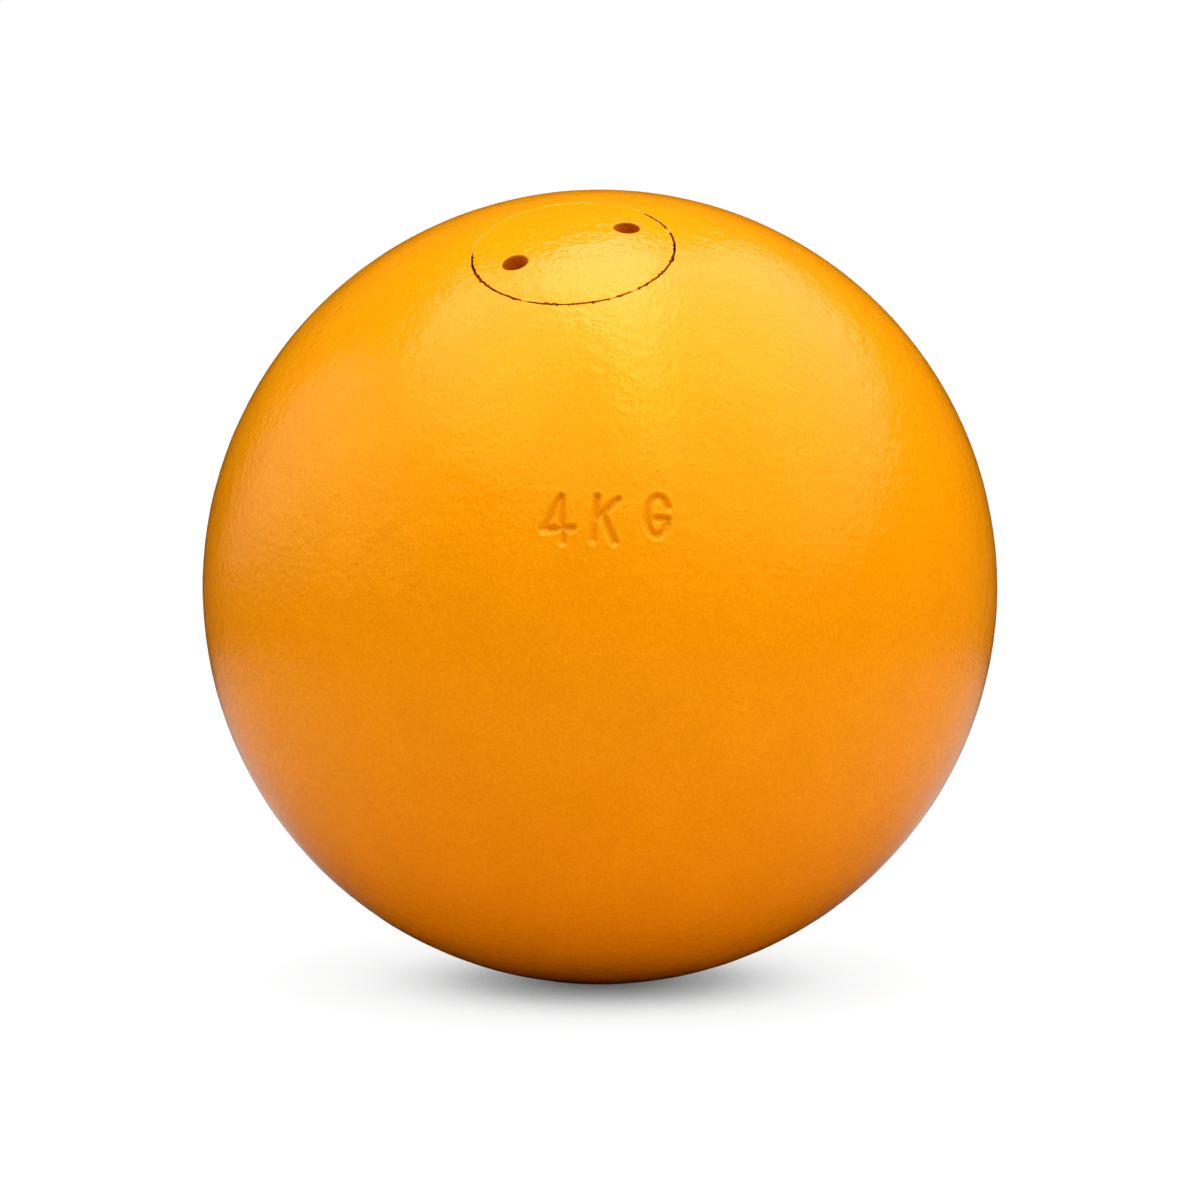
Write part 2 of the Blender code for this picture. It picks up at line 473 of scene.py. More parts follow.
def shell_columns():
    """Column angles round the ball, close together where the mass mark is struck."""
    out, _, _ = mark_directions()
    in_plug = out @ lean
    centre = math.atan2(in_plug[1], in_plug[0])
    distance = ball_radius * math.hypot(in_plug[0], in_plug[1])
    half = mark_field_width / 2 / distance
    fine = np.linspace(-half, half, round(2 * half * distance / mark_cell))
    coarse = np.linspace(half, 2 * math.pi - half, round((2 * math.pi - 2 * half) / coarse_column))
    return centre + np.concatenate([fine[:-1], coarse[:-1]])


def shell_rows(start):
    """Row angles from the mouth to the far side, close together where the mass mark is struck."""
    out, _, _ = mark_directions()
    centre = math.acos((out @ lean)[2])
    half = mark_field_height / 2 / ball_radius
    first, last = centre - half, centre + half
    upper = start + (first - start) * np.linspace(0, 1, 34) ** 1.25
    fine = np.linspace(first, last, round(2 * half * ball_radius / mark_cell))
    lower = np.linspace(last, math.pi, round((math.pi - last) * ball_radius / coarse_row))
    return np.concatenate([upper[:-1], fine[:-1], lower[:-1]])


def outer_thread():
    """One pitch of the plug's thread, as heights and radii."""
    middle = thread_pitch / 2
    crest = outer_crest_flat / 2
    foot = crest + (outer_crest_radius - outer_root_radius) * flank_slope
    return [
        (0.0, outer_root_radius - root_hollow),
        (middle - foot, outer_root_radius),
        (middle - crest, outer_crest_radius),
        (middle + crest, outer_crest_radius),
        (middle + foot, outer_root_radius),
    ]


def inner_thread():
    """One pitch of the ball's thread, as heights and radii."""
    middle = thread_pitch / 2
    crest = inner_crest_flat / 2
    depth = inner_root_radius - pocket_radius
    root = middle - crest - depth * flank_slope
    return [
        (0.0, pocket_radius),
        (crest, pocket_radius),
        (middle - root, inner_root_radius),
        (middle + root, inner_root_radius),
        (thread_pitch - crest, pocket_radius),
    ]


def plug_thread_radius(radius, height):
    """The plug's thread: chamfered at its start, and run out into a relief below the land."""
    chamfered = np.minimum(radius, nose_radius + (height - thread_end))
    run_out = outer_root_radius + np.maximum(thread_top - relief_length - height, 0.0) * run_out_slope
    return np.minimum(chamfered, run_out)


def bore_thread_radius(radius, height):
    """The ball's thread: countersunk at the mouth, and run out towards the pocket."""
    run_out = pocket_radius + (height - bore_thread_end) * run_out_slope
    return np.maximum(np.minimum(radius, run_out), mouth_radius - (counterbore_floor - height))


def chips(columns, seed):
    """Where the paint has chipped along an open seam: 0 where it is whole, up to about 1."""
    rag = ripple(columns, 20, 90, seed) + 0.6 * ripple(columns, 90, 150, seed + 1)
    return smooth_step(0.4, 1.8, rag) + 0.15 * np.abs(rag)


def edge_rounding(back):
    """How far the paint rounds the edges of the seam: more along the filled back."""
    return open_round + (filled_round - open_round) * back


def pocket_rings(columns):
    """The drilled pocket, from the tip of its drill point up to the thread."""
    rings = [tip(pocket_end - pocket_radius * math.tan(drill_slope))]
    return rings + [circle(columns, pocket_radius, height)
                    for height in np.linspace(pocket_end, bore_thread_end, 12)]


def mouth_rings(columns, mouth, top):
    """The wall of the counterbore, which spreads near its top to the ragged edge of the paint."""
    rings = [circle(columns, mouth_radius, counterbore_floor)]
    for share in (0.5, 0.8, 0.92, 1.0):
        height = counterbore_floor + (top - counterbore_floor) * share
        rings.append(circle(columns, mouth_radius + (mouth - mouth_radius) * share ** 4, height))
    return rings


def surface_rings(columns, edge, back):
    """The ball's outside from its mouth to its far side, with a ridge of paint along the filled seam."""
    rings = []
    for share in (0.12, 0.3, 0.55, 0.8):
        radius = edge + (lip_end_radius - edge) * share
        ridge = paint_ridge * back * math.sin(math.pi * share) ** 2
        rings.append(circle(columns, radius, ball_height(radius) + ridge))
    for angle in shell_rows(math.asin(lip_end_radius / ball_radius)):
        rings.append(circle(columns, ball_radius * math.sin(angle), ball_radius * math.cos(angle)))
    rings.append(tip(-ball_radius))
    return [ball_relief(ring) for ring in rings]


def make_ball(enamel, iron, seam_paint_shaded):
    """The iron ball, with its tapped mouth, the drilled pocket and the struck mass mark."""
    painted, bare, grimy_and_shaded = 0, 1, 2
    columns = shell_columns()
    back, fill = paint_fill(columns)
    rounding = edge_rounding(back)
    mouth = mouth_radius + paint_chip * chips(columns, seed=5) * (1 - fill)
    top = ball_height(mouth + rounding)
    wall = mouth_rings(columns, mouth, top - rounding)
    lip = [wall[-1]]
    for angle in quarter_round:
        radius = mouth + rounding * (1 - math.cos(angle))
        lip.append(circle(columns, radius, top - rounding * (1 - math.sin(angle))))
    skin = Skin()
    skin.add_rings(pocket_rings(columns), bare)
    skin.add_thread(columns, bore_thread_end, counterbore_floor, inner_thread(), bore_thread_radius, bare)
    # The counterbore wall takes the seam's darker paint: painted shade in the seam, with a mottle of dirt.
    skin.add_rings(wall, grimy_and_shaded)
    skin.add_rings(lip, painted)
    skin.add_rings([lip[-1]] + surface_rings(columns, mouth + rounding, back), painted)
    skin.build("painted_ball", [enamel, iron, seam_paint_shaded], "shot", ["shot_body"])


def hole_centres():
    """Where the two spanner holes lie on the plug, in its own frame."""
    cos, sin = math.cos(plug_clocking), math.sin(plug_clocking)
    centres = []
    for side in (-1, 1):
        across, along = side * hole_spacing / 2, hole_pair_shift
        centres.append(np.array([across * cos - along * sin, across * sin + along * cos]))
    return centres


def fall_at_rim(radius):
    """How far the plug's top has fallen below the ball at this radius, near its rim."""
    return rim_fall * np.maximum((radius - rim_fall_start) / (plug_radius - rim_fall_start), 0.0) ** 2


def dome_relief(flat):
    """Unevenness of the plug's painted top: soft waves, a dimple and the rounded hole rims."""
    reach = np.linalg.norm(flat, axis=1)
    points = np.column_stack([flat, ball_height(reach)])
    height = 0.008 * mm * swell(points / ball_radius, 9 * mm, 3 * mm, seed=21) - fall_at_rim(reach)
    dimple = np.linalg.norm(flat - np.array(dimple_place), axis=1)
    height -= dimple_depth * np.exp(-(dimple / dimple_radius) ** 2)
    for centre in hole_centres():
        apart = np.linalg.norm(flat - centre, axis=1) - hole_radius
        inward = np.clip(hole_round - apart, 0.0, hole_round)
        height -= hole_round - np.sqrt(hole_round ** 2 - inward ** 2)
        height += hole_ridge * np.exp(-((apart - hole_ridge_offset) / hole_ridge_width) ** 2)
    return height


def dome_height(flat):
    """Height of the plug's painted top."""
    return ball_height(np.linalg.norm(flat, axis=1)) + dome_relief(flat)


def hole_circle():
    """A circle of radius 1, with the columns of a spanner hole."""
    turn = even_turn(hole_columns)
    return np.stack([np.cos(turn), np.sin(turn)], axis=1)


def dome_points(rim):
    """Points of the plug's top, seen from above: its rim, rings round the holes and an even grid."""
    rounded = hole_round * (1 - np.cos(np.radians(np.linspace(0, 90, 8))))
    offsets = np.concatenate([rounded, hole_round + np.array([0.12, 0.28, 0.5]) * mm])
    reach = float(np.linalg.norm(rim[0, :2]))
    points = [rim[:, :2]]
    for centre in hole_centres():
        points.extend(centre + hole_circle() * (hole_radius + offset) for offset in offsets)
    side = np.arange(-reach, reach, dome_cell)
    grid_x, grid_y = np.meshgrid(side, side * math.sqrt(3) / 2)
    grid_x = grid_x + np.where(np.arange(len(side)) % 2, dome_cell / 2, 0.0)[:, None]
    grid = np.stack([grid_x.ravel(), grid_y.ravel()], axis=1)
    keep = np.linalg.norm(grid, axis=1) < reach - dome_cell * 0.6
    for centre in hole_centres():
        keep &= np.linalg.norm(grid - centre, axis=1) > hole_radius + offsets[-1] + dome_cell * 0.5
    points.append(grid[keep])
    return np.vstack(points)


def add_dome(skin, rim, finish):
    """The plug's top out to the rim ring, meshed round the two holes."""
    found = delaunay_2d_cdt([Vector(point) for point in dome_points(rim) / mm], [], [], 0, 1e-6)
    flat = np.array([tuple(point) for point in found[0]]) * mm
    faces = []
    for face in found[2]:
        middle = flat[list(face)].mean(axis=0)
        if all(np.linalg.norm(middle - centre) > hole_radius * 0.995 for centre in hole_centres()):
            faces.append(face)
    height = dome_height(flat)
    reach = float(np.linalg.norm(rim[0, :2]))
    edge = np.linalg.norm(flat, axis=1) > reach - 0.001 * mm
    height[edge] = ball_height(reach) - fall_at_rim(reach)
    skin.add(np.column_stack([flat, height]), faces, finish)


def add_holes(skin, finish):
    """The walls and the flat floors of the two spanner holes."""
    for centre in hole_centres():
        outline = centre + hole_circle() * hole_radius
        rim_height = dome_height(outline)
        rings = []
        for share in np.linspace(0, 1, 9) ** 1.3:
            level = rim_height + (hole_floor + hole_corner - rim_height) * share
            rings.append(np.column_stack([outline, level]))
        inner = centre + hole_circle() * (hole_radius - hole_corner)
        rings.append(np.column_stack([inner, np.full(hole_columns, hole_floor)]))
        rings.append(np.array([[*centre, hole_floor]]))
        skin.add_rings(rings, finish)


def plug_edge_rings(columns, rim, edge, rounding, fill):
    """The plug's painted top from the rim ring out to its edge, and over that edge."""
    shoulder = edge - rounding
    rings = [rim]
    for share in (0.35, 0.65, 0.85, 1.0):
        radius = dome_rim + (shoulder - dome_rim) * share
        ridge = (paint_ridge + fall_at_rim(radius)) * fill * smooth_step(0.3, 0.9, share)
        rings.append(circle(columns, radius, ball_height(radius) - fall_at_rim(radius) + ridge))
    top = rings[-1][:, 2]
    for angle in quarter_round:
        radius = shoulder + rounding * math.sin(angle)
        rings.append(circle(columns, radius, top - rounding * (1 - math.cos(angle))))
    return rings


def plug_land_rings(columns, edge, lip):
    """The land: a skirt of paint under the plug's edge, and the bare side down to the thread."""
    skirt = lip[:, 2] - paint_fill_depth
    foot = skirt - paint_skirt_taper
    rings = [lip, circle(columns, edge, skirt), circle(columns, plug_radius - 0.01 * mm, foot)]
    for share in (0.3, 0.65, 1.0):
        rings.append(circle(columns, plug_radius, foot + (thread_top - foot) * share))
    return rings


def nose_outline():
    """Radii and heights of the nose, with the seal's groove and the centre hole of its turning."""
    groove_top = seal_height + seal_section / 2 + fit_gap
    groove_bottom = seal_height - seal_section / 2 - fit_gap
    edge = 0.1 * mm
    corner = 0.15 * mm
    centre_hole = 0.5 * mm
    centre_edge = 0.9 * mm
    return [
        (nose_radius, thread_end),
        (nose_radius, (thread_end + groove_top) / 2),
        (nose_radius, groove_top + edge),
        (nose_radius - edge, groove_top),
        (groove_radius + corner, groove_top),
        (groove_radius, groove_top - corner),
        (groove_radius, groove_bottom + corner),
        (groove_radius + corner, groove_bottom),
        (nose_radius - edge, groove_bottom),
        (nose_radius, groove_bottom - edge),
        (nose_radius, nose_end + nose_chamfer),
        (nose_radius - nose_chamfer, nose_end),
        (nose_radius * 0.55, nose_end),
        (centre_edge, nose_end),
        (centre_hole, nose_end + centre_hole),
    ]


def make_plug(enamel, steel, seam_paint_shaded, hole_grime_and_painted_shade):
    """The screwed plug: painted domed top, land and holes in darker paint that is painted shade with a mottle of
    dirt, bare thread, nose and underside.
    """
    painted, bare, grimy_and_shaded, grimy_and_shaded_hole = 0, 1, 2, 3
    columns = even_turn(plug_columns)
    back, fill = paint_fill(columns)
    edge = plug_radius + paint_bead + (paint_fill_radius - plug_radius - paint_bead) * fill
    edge -= paint_chip * chips(columns, seed=9) * (1 - fill)
    rim = circle(columns, dome_rim, ball_height(dome_rim) - fall_at_rim(dome_rim))
    top = plug_edge_rings(columns, rim, edge, edge_rounding(back), fill)
    land = plug_land_rings(columns, edge, top[-1])
    nose = [circle(columns, radius, height) for radius, height in nose_outline()]
    skin = Skin()
    add_dome(skin, rim, painted)
    # The spanner holes take a darker paint: painted shade inside the holes, with a mottle of dirt.
    add_holes(skin, grimy_and_shaded_hole)
    skin.add_rings(top, painted)
    # The land takes the seam's darker paint: painted shade in the seam, with a mottle of dirt.
    skin.add_rings(land, grimy_and_shaded)
    skin.add_rings([land[-1], circle(columns, outer_root_radius, thread_top)], bare)
    skin.add_thread(columns, thread_end, thread_top, outer_thread(), plug_thread_radius, bare)
    skin.add_rings(nose + [tip(nose_end + 0.8 * mm)], bare)
    materials = [enamel, steel, seam_paint_shaded, hole_grime_and_painted_shade]
    skin.build("screw_plug", materials, "plug", ["closing_plug"])


def make_seal(rubber):
    """The rubber ring, with the fine parting line that its mould leaves."""
    columns = even_turn(seal_columns)
    rings = []
    for angle in even_turn(seal_rows):
        radius = seal_section / 2
        if abs(math.sin(angle)) < seal_parting_width:
            radius += seal_parting
        level = seal_height + radius * math.sin(angle)
        rings.append(circle(columns, seal_radius + radius * math.cos(angle), level))
    skin = Skin()
    skin.add_rings(rings + [rings[0]], 0)
    skin.build("rubber_seal", [rubber], "seal", ["seal_ring"])


def wad_heights():
    """The wad's lowest and highest height along the plug's axis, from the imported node."""
    vertices = frame["nodes"]["packing_wad"].data.vertices
    heights = [vertex.co.dot(to_world.col[2].to_3d()) for vertex in vertices]
    return min(heights), max(heights)


def make_wad(felt):
    """The felt wad: four punched discs pressed on each other, bulging a little between their seams."""
    low, high = wad_heights()
    radius = pocket_radius - wad_slack
    columns = even_turn(wad_columns)
    face = (0.3, 0.6, 0.85)
    rings = [tip(high)] + [circle(columns, radius * share, high) for share in face]
    for row in range(wad_rows):
        share = row / (wad_rows - 1)
        seam = abs(math.sin(math.pi * share * wad_discs)) ** 0.35
        end = min(share, 1 - share) * (high - low)
        crown = math.sqrt(max(0.0, 1 - (1 - min(end / wad_chamfer, 1.0)) ** 2))
        bulge = radius - wad_crease * (1 - seam) - wad_chamfer * 0.8 * (1 - crown)
        fuzz = wad_fuzz * ripple(columns, 20, 120, seed=40 + row)
        rings.append(circle(columns, bulge + fuzz, high + (low - high) * share))
    rings += [circle(columns, radius * share, low) for share in reversed(face)] + [tip(low)]
    skin = Skin()
    skin.add_rings(rings, 0)
    piece = skin.build("felt_wad", [felt], "shot", ["packing_wad"])


def ballast_rings():
    """One lead ball, cast in a mould of two halves: its seam, and a flat where the sprue was cut off."""
    columns = even_turn(ballast_columns)
    equator = math.pi / 2
    above = np.linspace(ballast_cut_angle, equator - ballast_seam_zone, 12)
    seam = equator + np.arange(-2, 3) * ballast_seam_angle
    below = np.linspace(equator + ballast_seam_zone, math.pi, 14)[:-1]
    slopes = np.concatenate([above, seam, below])
    radii = ballast_radius - ballast_seam * (1 - np.exp(-((slopes - equator) / ballast_seam_angle) ** 2))
    rings = [tip(radii[0] * math.cos(ballast_cut_angle))]
    rings += [circle(columns, r * math.sin(a), r * math.cos(a)) for a, r in zip(slopes, radii)]
    return rings + [tip(-radii[-1])]


def make_ballast(lead):
    """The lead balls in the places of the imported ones, each rolled another way."""
    rings = ballast_rings()
    packed_balls = sorted(name for name in frame["nodes"] if name.startswith("ballast_ball"))
    for number, name in enumerate(packed_balls, start=1):
        corners = np.array([vertex.co for vertex in frame["nodes"][name].data.vertices])
        centre = (corners.min(axis=0) + corners.max(axis=0)) / 2
        rolled = np.array(Matrix.Rotation(ballast_roll * number, 3, ballast_roll_axis))
        skin = Skin()
        skin.add_rings([ring @ rolled.T + centre for ring in rings], 0)
        skin.build(f"lead_ball_{number:02d}", [lead], "shot", [name], lean_over=False)


def new_material(name):
    """An empty material with its Principled shader and output joined."""
    material = bpy.data.materials.new(name)
    material.use_nodes = True
    return material, material.node_tree, material.node_tree.nodes["Principled BSDF"]


def new_emitter(name):
    """An empty material with nothing joined to its surface, and that surface."""
    material, tree, shader = new_material(name)
    tree.nodes.remove(shader)
    return material, tree, tree.nodes["Material Output"].inputs["Surface"]


def feed(shader, inputs):
    """Give a node's inputs their values, or join them to the sockets that feed them."""
    for name, value in inputs.items():
        if isinstance(value, bpy.types.NodeSocket):
            shader.id_data.links.new(value, shader.inputs[name])
        else:
            shader.inputs[name].default_value = value


def node(tree, kind, inputs=None, **settings):
    """A shader node with its inputs and settings."""
    made = tree.nodes.new(kind)
    for name, value in settings.items():
        setattr(made, name, value)
    feed(made, inputs or {})
    return made


def object_place(tree):
    """Coordinates fixed to the object, in metres."""
    return node(tree, "ShaderNodeTexCoord").outputs["Object"]


def noise(tree, place, wave, detail=2.0, roughness=0.5, distortion=0.0):
    """Noise with a wave of about this length in metres."""
    made = node(tree, "ShaderNodeTexNoise", {
        "Vector": place, "Scale": 1 / wave, "Detail": detail,
        "Roughness": roughness, "Distortion": distortion,
    })
    return made.outputs["Fac"]


def spread(tree, value, low, high, to_low=0.0, to_high=1.0, smooth=False):
    """The value carried from one range to another, and held at its ends."""
    made = node(tree, "ShaderNodeMapRange", {
        "Value": value, "From Min": low, "From Max": high, "To Min": to_low, "To Max": to_high,
    }, interpolation_type="SMOOTHSTEP" if smooth else "LINEAR")
    return made.outputs["Result"]


def tint(tree, factor, first, second, blend="MIX"):
    """Two colours mixed by a factor."""
    made = node(tree, "ShaderNodeMix", data_type="RGBA", blend_type=blend)
    for socket, value in zip((made.inputs[0], made.inputs[6], made.inputs[7]), (factor, first, second)):
        if isinstance(value, bpy.types.NodeSocket):
            tree.links.new(value, socket)
        elif socket.type == "RGBA":
            socket.default_value = (*value, 1.0)
        else:
            socket.default_value = value
    return made.outputs[2]


def bump(tree, height, distance, strength=1.0, below=None):
    """A bump of this height in metres, laid over the one below."""
    inputs = {"Height": height, "Distance": distance, "Strength": strength}
    if below is not None:
        inputs["Normal"] = below
    return node(tree, "ShaderNodeBump", inputs).outputs["Normal"]


def make_enamel():
    """Glossy orange enamel over turned iron: orange peel, faint mottling, grain and fine specks."""
    material, tree, shader = new_material("orange_enamel")
    place = object_place(tree)
    mottled = tint(tree, spread(tree, noise(tree, place, 9 * mm, 3.0), 0.35, 0.65),
                   (0.775, 0.277, 0.0010), (0.800, 0.289, 0.0014))
    grain = spread(tree, noise(tree, place, 0.30 * mm, 2.0, 0.7), 0.30, 0.70)
    grain = tint(tree, grain, (0.95, 0.87, 0.75), (1.05, 1.13, 1.25))
    grained = tint(tree, 1.0, mottled, grain, blend="MULTIPLY")
    specks = spread(tree, noise(tree, place, 0.7 * mm, 1.0), 0.79, 0.82)
    coloured = tint(tree, specks, grained, (0.60, 0.16, 0.002))
    dull = spread(tree, noise(tree, place, 3 * mm, 3.0), 0.3, 0.7, 0.10, 0.14)
    facing = node(tree, "ShaderNodeLayerWeight", {"Blend": 0.5}).outputs["Facing"]
    calm = spread(tree, facing, 0.72, 0.95, 1.0, 0.0)
    peel = bump(tree, noise(tree, place, 2.4 * mm, 2.0), 0.11 * mm, calm)
    peel = bump(tree, noise(tree, place, 0.9 * mm, 2.0), 0.10 * mm, calm, below=peel)
    peel = bump(tree, noise(tree, place, 0.40 * mm, 1.0), 0.024 * mm, calm, below=peel)
    feed(shader, {
        "Base Color": coloured, "Roughness": dull, "Normal": peel, "IOR": 1.5,
        "Specular IOR Level": 0.32, "Specular Tint": (1.0, 0.92, 0.14, 1.0),
    })
    return material


def make_grime_and_shade(name, light, dark):
    """Paint mottled with dirt between a light and a dark colour; given dark colours, it is painted shade in the
    seam and the spanner holes.
    """
    material, tree, shader = new_material(name)
    place = object_place(tree)
    dirt = spread(tree, noise(tree, place, 0.5 * mm, 4.0, 0.6), 0.35, 0.65)
    feed(shader, {
        "Base Color": tint(tree, dirt, light, dark),
        "Roughness": spread(tree, dirt, 0.0, 1.0, 0.55, 0.85),
        "Normal": bump(tree, noise(tree, place, 0.2 * mm, 3.0), 0.02 * mm),
        "Specular IOR Level": 0.15,
    })
    return material


def make_machined(name, bright, dark, rough):
    """Turned bare metal: fine tool rings round the plug's axis, oil stains and dull patches."""
    material, tree, shader = new_material(name)
    place = object_place(tree)
    tool_pitch = 0.16 * mm
    axis = to_world.col[2].to_3d()
    along = node(tree, "ShaderNodeVectorMath", {0: place, 1: axis}, operation="DOT_PRODUCT").outputs["Value"]
    rings = node(tree, "ShaderNodeMath", {0: along, 1: 2 * math.pi / tool_pitch}, operation="MULTIPLY")
    wave = node(tree, "ShaderNodeMath", {0: rings.outputs[0]}, operation="SINE").outputs[0]
    stain = spread(tree, noise(tree, place, 4 * mm, 4.0, 0.6), 0.38, 0.66)
    marks = bump(tree, wave, 0.003 * mm)
    feed(shader, {
        "Base Color": tint(tree, stain, bright, dark),
        "Roughness": spread(tree, stain, 0.0, 1.0, rough, rough + 0.25),
        "Metallic": 1.0,
        "Normal": bump(tree, noise(tree, place, 0.3 * mm, 3.0), 0.006 * mm, below=marks),
    })
    return material


def make_rubber():
    """Black moulded rubber with a faint bloom."""
    material, tree, shader = new_material("black_rubber")
    place = object_place(tree)
    bloom = spread(tree, noise(tree, place, 1.5 * mm, 4.0), 0.45, 0.75)
    feed(shader, {
        "Base Color": tint(tree, bloom, (0.012, 0.012, 0.012), (0.045, 0.043, 0.040)),
        "Roughness": spread(tree, bloom, 0.0, 1.0, 0.42, 0.65),
        "Normal": bump(tree, noise(tree, place, 0.15 * mm, 3.0), 0.008 * mm),
    })
    return material


def make_felt():
    """Pressed wool felt: matted fibres in greys and browns."""
    material, tree, shader = new_material("grey_felt")
    place = object_place(tree)
    fibre = noise(tree, place, 0.5 * mm, 6.0, 0.75, 1.5)
    feed(shader, {
        "Base Color": tint(tree, spread(tree, fibre, 0.35, 0.65), (0.21, 0.195, 0.17), (0.40, 0.375, 0.335)),
        "Roughness": spread(tree, fibre, 0.3, 0.7, 0.86, 1.0),
        "Sheen Weight": 0.4,
        "Sheen Roughness": 0.5,
        "Normal": bump(tree, fibre, 0.20 * mm),
    })
    return material


def make_lead():
    """Cast lead gone dull: blue-grey with pale oxide and a rough cast skin."""
    material, tree, shader = new_material("cast_lead")
    place = object_place(tree)
    oxide = spread(tree, noise(tree, place, 2.5 * mm, 5.0, 0.65), 0.40, 0.70)
    feed(shader, {
        "Base Color": tint(tree, oxide, (0.19, 0.20, 0.225), (0.36, 0.36, 0.355)),
        "Roughness": spread(tree, oxide, 0.0, 1.0, 0.38, 0.72),
        "Metallic": spread(tree, oxide, 0.0, 1.0, 1.0, 0.35),
        "Normal": bump(tree, noise(tree, place, 0.9 * mm, 4.0), 0.05 * mm),
    })
    return material


def aim(thing, place, target):
    """Stand a thing at a place, facing the target."""
    thing.location = place
    thing.rotation_mode = "QUATERNION"
    thing.rotation_quaternion = (Vector(target) - Vector(place)).to_track_quat("-Z", "Y")


def look_towards(azimuth, elevation):
    """The direction with this azimuth and elevation in degrees."""
    side, rise = math.radians(azimuth), math.radians(elevation)
    return Vector((math.sin(side) * math.cos(rise), math.cos(side) * math.cos(rise), math.sin(rise)))


def add_stage_mesh(name, points, faces, material):
    """A floor, wall or card that isn't part of the object."""
    mesh = bpy.data.meshes.new(name)
    mesh.from_pydata(points, [], faces)
    mesh.materials.append(material)
    piece = bpy.data.objects.new(name, mesh)
    bpy.context.scene.collection.objects.link(piece)
    return piece


def add_cloth(name, distance, hot, outline):
    """A lit studio cloth, which glows most at one place."""
    places = (*outline, hot)
    points = [look_towards(azimuth, elevation) * distance for azimuth, elevation, _ in places]
    count = len(outline)
    faces = [(count, i, (i + 1) % count) for i in range(count)]
    material, tree, surface = new_emitter(name)
    strength = node(tree, "ShaderNodeAttribute", attribute_name="level").outputs["Fac"]
    glow = node(tree, "ShaderNodeEmission", {"Strength": strength})
    tree.links.new(glow.outputs[0], surface)
    cloth = add_stage_mesh(name, points, faces, material)
    levels = cloth.data.attributes.new("level", "FLOAT", "POINT")
    levels.data.foreach_set("value", [level for _, _, level in places])
    cloth.visible_camera = False
    cloth.visible_shadow = False


def add_lights():
    """A tent of lit cloth overhead, brightest on the right, a cloth on the left and a dim room."""
    for name, distance, hot, outline in studio_cloths:
        add_cloth(name, distance, hot, outline)
    world = bpy.data.worlds.new("dim_room")
    world.use_nodes = True
    background = world.node_tree.nodes["Background"]
    feed(background, {"Color": (room_light, room_light, room_light, 1.0), "Strength": 1.0})
    bpy.context.scene.world = world


def contact_shade(tree):
    """How white the floor is: darker where the ball shuts out the light."""
    shade = node(tree, "ShaderNodeAmbientOcclusion", {"Distance": contact_reach}, samples=32)
    ramp = node(tree, "ShaderNodeValToRGB", {"Fac": shade.outputs["AO"]})
    elements = ramp.color_ramp.elements
    while len(elements) < len(contact_levels):
        elements.new(0.5)
    for element, (position, level) in zip(elements, contact_levels):
        element.position = position
        element.color = (level, level, level, 1.0)
    return ramp.outputs["Color"]


def seen_or_mirrored(tree):
    """1 on rays from the camera, from a gloss or through glass, and 0 on the rays that light things."""
    path = node(tree, "ShaderNodeLightPath").outputs
    inputs = {0: path["Is Camera Ray"], 1: path["Is Glossy Ray"]}
    either = node(tree, "ShaderNodeMath", inputs, operation="MAXIMUM")
    inputs = {0: either.outputs[0], 1: path["Is Transmission Ray"]}
    return node(tree, "ShaderNodeMath", inputs, operation="MAXIMUM").outputs[0]


def make_white_ground():
    """Matt white, which shows plain white to the eye and keeps the shade under the ball."""
    material, tree, surface = new_emitter("white_ground")
    glow = node(tree, "ShaderNodeEmission", {"Color": contact_shade(tree), "Strength": 1.0})
    pale = node(tree, "ShaderNodeBsdfDiffuse", {"Color": (0.04, 0.04, 0.04, 1.0)})
    lit = node(tree, "ShaderNodeBsdfDiffuse", {"Color": (0.74, 0.55, 0.40, 1.0)})
    seen = node(tree, "ShaderNodeAddShader", {0: glow.outputs[0], 1: pale.outputs[0]})
    mixed = node(tree, "ShaderNodeMixShader", {
        0: seen_or_mirrored(tree), 1: lit.outputs[0], 2: seen.outputs[0],
    })
    tree.links.new(mixed.outputs[0], surface)
    return material


def make_black_card():
    """Matt black card."""
    material, _, shader = new_material("black_card")
    feed(shader, {"Base Color": (0.01, 0.01, 0.01, 1.0), "Roughness": 1.0, "Specular IOR Level": 0.0})
    return material


def make_grey_card():
    """The white table as the ball mirrors it, which the ball shades all round."""
    material, tree, surface = new_emitter("grey_card")
    across = {0: object_place(tree), 1: (1.0, 1.0, 0.0)}
    flat = node(tree, "ShaderNodeVectorMath", across, operation="MULTIPLY").outputs[0]
    reach = node(tree, "ShaderNodeVectorMath", {0: flat}, operation="LENGTH").outputs["Value"]
    near = spread(tree, reach, table_shade, table_full, 0.0, table_level, smooth=True)
    far = spread(tree, reach, table_fade, table_end, 1.0, 0.0, smooth=True)
    level = node(tree, "ShaderNodeMath", {0: near, 1: far}, operation="MULTIPLY").outputs[0]
    glow = node(tree, "ShaderNodeEmission", {"Strength": level})
    tree.links.new(glow.outputs[0], surface)
    return material


def add_ring(name, inner, outer, material):
    """A round wall or card between two edges, each a radius and a height; a disc where the first is 0."""
    angles = [2 * math.pi * i / ring_steps for i in range(ring_steps)]
    points = [(radius * math.cos(a), radius * math.sin(a), height)
              for radius, height in (inner, outer) for a in angles]
    after = [(i + 1) % ring_steps for i in range(ring_steps)]
    faces = [(i, after[i], ring_steps + after[i], ring_steps + i) for i in range(ring_steps)]
    if not inner[0]:
        points, faces = points[ring_steps:], [tuple(range(ring_steps))]
    return add_stage_mesh(name, points, faces, material)


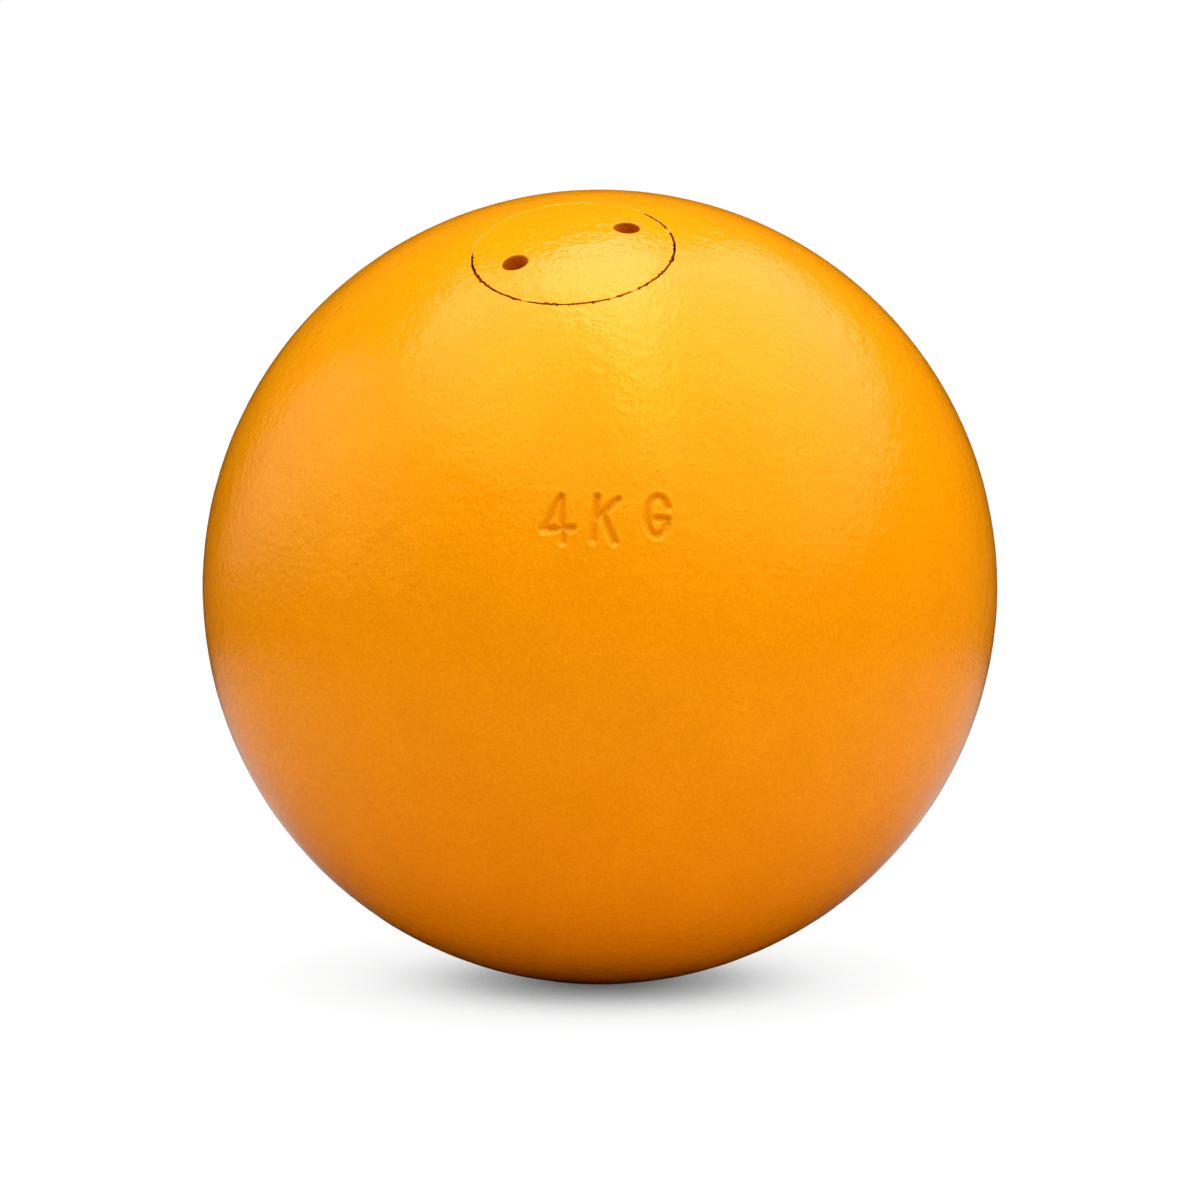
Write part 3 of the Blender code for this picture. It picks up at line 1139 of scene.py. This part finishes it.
def add_floor(material):
    """The square floor."""
    corners = ((-1, -1), (1, -1), (1, 1), (-1, 1))
    points = [(x * floor_reach, y * floor_reach, floor_height) for x, y in corners]
    add_stage_mesh("floor", points, [(0, 1, 2, 3)], material)


def only_in_reflections(piece):
    """Let a piece show in the gloss without showing, lighting or shading anything itself."""
    piece.visible_camera = False
    piece.visible_diffuse = False
    piece.visible_shadow = False
    piece.visible_transmission = False


def add_stage():
    """White floor and low wall, with the table and the dark room that the ball mirrors."""
    white = make_white_ground()
    black = make_black_card()
    table = floor_height + mirrored_lift
    add_floor(white)
    add_ring("low_wall", (floor_reach, floor_height), (floor_reach, wall_top), white)
    for piece in (
        add_ring("mirrored_table", (0.0, table), (table_end, table), make_grey_card()),
        add_ring("mirrored_room", (table_end, table), (room_reach, table), black),
        add_ring("room_flag", (room_reach, floor_height), (room_reach, room_top), black),
    ):
        only_in_reflections(piece)


def add_camera():
    """The camera, at the photograph's viewing angle."""
    data = bpy.data.cameras.new("camera")
    data.lens = camera_lens
    data.sensor_width = camera_sensor
    camera = bpy.data.objects.new("camera", data)
    bpy.context.scene.collection.objects.link(camera)
    back = Vector((0.0, -math.cos(camera_elevation), math.sin(camera_elevation)))
    up = Vector((0.0, math.sin(camera_elevation), math.cos(camera_elevation)))
    target = up * (-math.tan(camera_drop) * camera_distance)
    aim(camera, back * camera_distance, target)
    bpy.context.scene.camera = camera


def dress():
    """Make every piece in its finish."""
    enamel = make_enamel()
    iron = make_machined("bored_iron", (0.46, 0.44, 0.42), (0.20, 0.16, 0.13), 0.30)
    steel = make_machined("turned_steel", (0.30, 0.29, 0.275), (0.15, 0.135, 0.12), 0.26)
    # Darker copies of the orange paint: painted shade for the seam here and for the spanner holes below, mottled
    # with dirt.
    seam_paint_shaded = make_grime_and_shade("seam_grime_and_painted_shade", (0.60, 0.15, 0.004), (0.30, 0.07, 0.004))
    hole_grime_and_painted_shade = make_grime_and_shade("hole_grime_and_painted_shade", (0.68, 0.19, 0.004), (0.52, 0.14, 0.004))
    make_ball(enamel, iron, seam_paint_shaded)
    make_plug(enamel, steel, seam_paint_shaded, hole_grime_and_painted_shade)
    make_seal(make_rubber())
    make_wad(make_felt())
    make_ballast(make_lead())


add_camera()
dress()
add_lights()
add_stage()
bpy.context.scene.view_settings.view_transform = "Standard"
